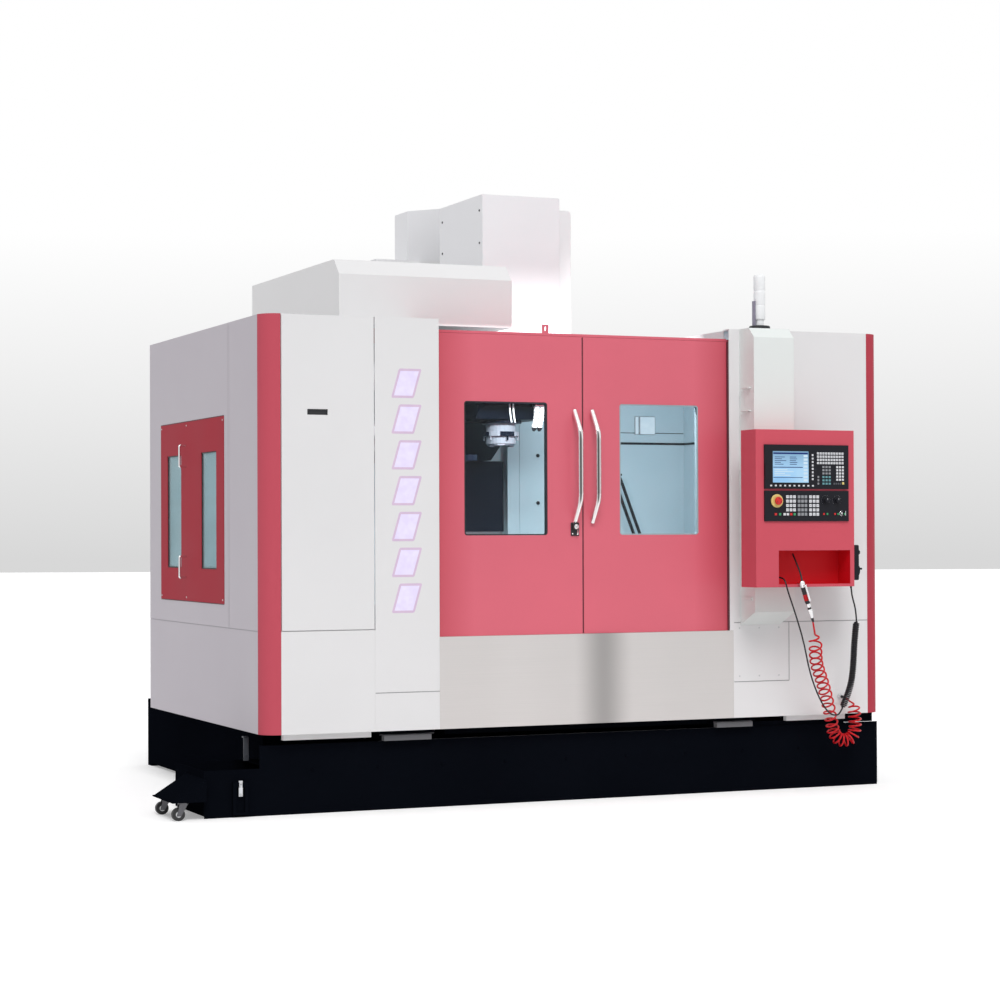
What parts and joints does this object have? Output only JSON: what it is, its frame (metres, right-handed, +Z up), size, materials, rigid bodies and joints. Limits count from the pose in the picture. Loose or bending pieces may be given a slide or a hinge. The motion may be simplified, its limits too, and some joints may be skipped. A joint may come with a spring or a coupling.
{
  "type": "cnc machining center",
  "caption": "Enclosed vertical machining centre with sliding doors, a moving table and head, a tool magazine, a control box and a coolant tank.",
  "frame": {"origin": "centre of the footprint's overall box on the floor, measured without the two cords", "axes": "+X to the machine's right as its operator sees it, +Y from the doors to the back, +Z up"},
  "size_m": [3.804, 3.098, 3.16],
  "materials": {
    "white_panel": "fine textured paint",
    "red_panel": "satin paint",
    "base_paint": "satin paint",
    "grey_paint": "satin paint",
    "cast_paint": "painted casting",
    "stainless": "brushed",
    "lining_paint": "pale teal paint",
    "ground_steel": "ground",
    "bright_metal": "polished",
    "pane": "clear, slightly teal",
    "lens": "lit lens",
    "dark_panel": "moulded",
    "key_caps": "moulded",
    "stop_red": "moulded",
    "hose_red": "polyurethane tube",
    "cable_grey": "cable sheath",
    "wheel_black": "moulded tread",
    "zinc": "zinc plated"
  },
  "bodies": {
    "machine": {"side_walls": "white_panel", "corner_posts": "red_panel", "hatch_frame": "white_panel", "light_panel": "white_panel", "light_bars": "lens", "right_front_panel": "white_panel", "door_header": "red_panel", "stainless_apron": "stainless", "rear_wall": "white_panel", "roof_panels": "white_panel", "magazine_hood": "white_panel", "splash_walls": "lining_paint", "service_panel": "red_panel", "service_glass": "pane", "service_handles": "bright_metal", "service_screen": "lining_paint", "bed_casting": "base_paint", "base_trays": "base_paint", "coolant_tank": "base_paint", "column": "cast_paint", "z_motor_cover": "white_panel", "tool_changer": "grey_paint", "cabinet": "white_panel", "control_post": "white_panel", "control_box": "red_panel", "display_unit": "dark_panel", "operator_panel": "dark_panel", "panel_keys": "key_caps", "pendant": "grey_paint", "pendant_cable": "cable_grey", "air_gun": "stop_red", "air_hose": "hose_red", "signal_tower": "key_caps"},
    "hatch": {"hatch": "white_panel"},
    "left_door": {"left_door": "red_panel", "left_door_glass": "pane", "left_door_handle": "bright_metal"},
    "right_door": {"right_door": "red_panel", "right_door_glass": "pane", "right_door_handle": "bright_metal"},
    "saddle": {"saddle": "cast_paint"},
    "table": {"table": "ground_steel"},
    "x_cover": {"x_cover_mid": "ground_steel"},
    "y_cover": {"y_cover_mid": "ground_steel"},
    "head": {"head_casting": "cast_paint", "head_cover": "white_panel"},
    "z_cover": {"z_cover_mid": "ground_steel"},
    "spindle": {"spindle": "bright_metal"},
    "carousel": {"carousel": "grey_paint"},
    "cabinet_door": {"cabinet_door": "white_panel"},
    "emergency_stop": {"emergency_stop": "stop_red"},
    "feed_knob": {"feed_knob": "dark_panel"},
    "spindle_knob": {"spindle_knob": "dark_panel"},
    "key_switch": {"key_switch": "bright_metal"},
    "pendant_wheel": {"pendant_wheel": "dark_panel"},
    "trigger": {"air_gun_trigger": "bright_metal"},
    "fork_front": {"caster_fork_front": "zinc"},
    "fork_rear": {"caster_fork_rear": "zinc"},
    "wheel_front": {"caster_wheel_front": "wheel_black"},
    "wheel_rear": {"caster_wheel_rear": "wheel_black"}
  },
  "joints": [
    {"name": "left_door_slide", "type": "slide", "parent": "machine", "child": "left_door", "axis": [-1, 0, 0], "range_m": [0, 0.7]},
    {"name": "right_door_slide", "type": "slide", "parent": "machine", "child": "right_door", "axis": [1, 0, 0], "range_m": [0, 0.7]},
    {"name": "hatch_hinge", "type": "hinge", "parent": "machine", "child": "hatch", "pos_m": [-0.919, -1.1865, 1.6], "axis": [0, 0, 1], "range_deg": [0, 95]},
    {"name": "y_axis", "type": "slide", "parent": "machine", "child": "saddle", "axis": [0, 1, 0], "range_m": [-0.35, 0.35]},
    {"name": "x_axis", "type": "slide", "parent": "saddle", "child": "table", "axis": [1, 0, 0], "range_m": [-0.65, 0.65]},
    {"name": "x_cover_slide", "type": "slide", "parent": "saddle", "child": "x_cover", "axis": [1, 0, 0], "range_m": [-0.325, 0.325]},
    {"name": "y_cover_slide", "type": "slide", "parent": "machine", "child": "y_cover", "axis": [0, 1, 0], "range_m": [-0.175, 0.175]},
    {"name": "z_axis", "type": "slide", "parent": "machine", "child": "head", "axis": [0, 0, 1], "range_m": [-0.7, 0]},
    {"name": "z_cover_slide", "type": "slide", "parent": "machine", "child": "z_cover", "axis": [0, 0, 1], "range_m": [-0.35, 0]},
    {"name": "spindle_turn", "type": "hinge", "parent": "head", "child": "spindle", "pos_m": [0.205, -0.0955, 1.9], "axis": [0, 0, 1], "continuous": true},
    {"name": "carousel_turn", "type": "hinge", "parent": "machine", "child": "carousel", "pos_m": [-0.58, -0.0955, 2.13], "axis": [1, 0, 0], "continuous": true},
    {"name": "cabinet_door_hinge", "type": "hinge", "parent": "machine", "child": "cabinet_door", "pos_m": [1.689, 1.3115, 1.265], "axis": [0, 0, -1], "range_deg": [0, 110]},
    {"name": "emergency_stop_press", "type": "slide", "parent": "machine", "child": "emergency_stop", "axis": [0, 1, 0], "range_m": [0, 0.005]},
    {"name": "feed_knob_turn", "type": "hinge", "parent": "machine", "child": "feed_knob", "pos_m": [1.374, -1.5005, 1.478], "axis": [0, -1, 0], "range_deg": [-150, 150]},
    {"name": "spindle_knob_turn", "type": "hinge", "parent": "machine", "child": "spindle_knob", "pos_m": [1.438, -1.5005, 1.478], "axis": [0, -1, 0], "range_deg": [-150, 150]},
    {"name": "key_turn", "type": "hinge", "parent": "machine", "child": "key_switch", "pos_m": [1.466, -1.5005, 1.413], "axis": [0, -1, 0], "range_deg": [0, 90]},
    {"name": "pendant_wheel_turn", "type": "hinge", "parent": "machine", "child": "pendant_wheel", "pos_m": [1.6, -1.4105, 1.125], "axis": [1, 0, 0], "continuous": true},
    {"name": "trigger_squeeze", "type": "hinge", "parent": "machine", "child": "trigger", "pos_m": [1.22633, -1.5415, 1.05368], "axis": [0.9511, 0, 0.309], "range_deg": [0, 6], "stiffness_Nm_per_rad": 0.4},
    {"name": "front_caster_swivel", "type": "hinge", "parent": "machine", "child": "fork_front", "pos_m": [-1.842, -1.1355, 0.08], "axis": [0, 0, 1], "continuous": true},
    {"name": "rear_caster_swivel", "type": "hinge", "parent": "machine", "child": "fork_rear", "pos_m": [-1.842, -0.8505, 0.08], "axis": [0, 0, 1], "continuous": true},
    {"name": "front_wheel_roll", "type": "hinge", "parent": "fork_front", "child": "wheel_front", "pos_m": [-1.866, -1.1355, 0.03], "axis": [0, 1, 0], "continuous": true},
    {"name": "rear_wheel_roll", "type": "hinge", "parent": "fork_rear", "child": "wheel_rear", "pos_m": [-1.866, -0.8505, 0.03], "axis": [0, 1, 0], "continuous": true}
  ],
  "couplings": [
    {"joint": "x_cover_slide", "follows": "x_axis", "ratio": 0.5},
    {"joint": "y_cover_slide", "follows": "y_axis", "ratio": 0.5},
    {"joint": "z_cover_slide", "follows": "z_axis", "ratio": 0.5}
  ]
}
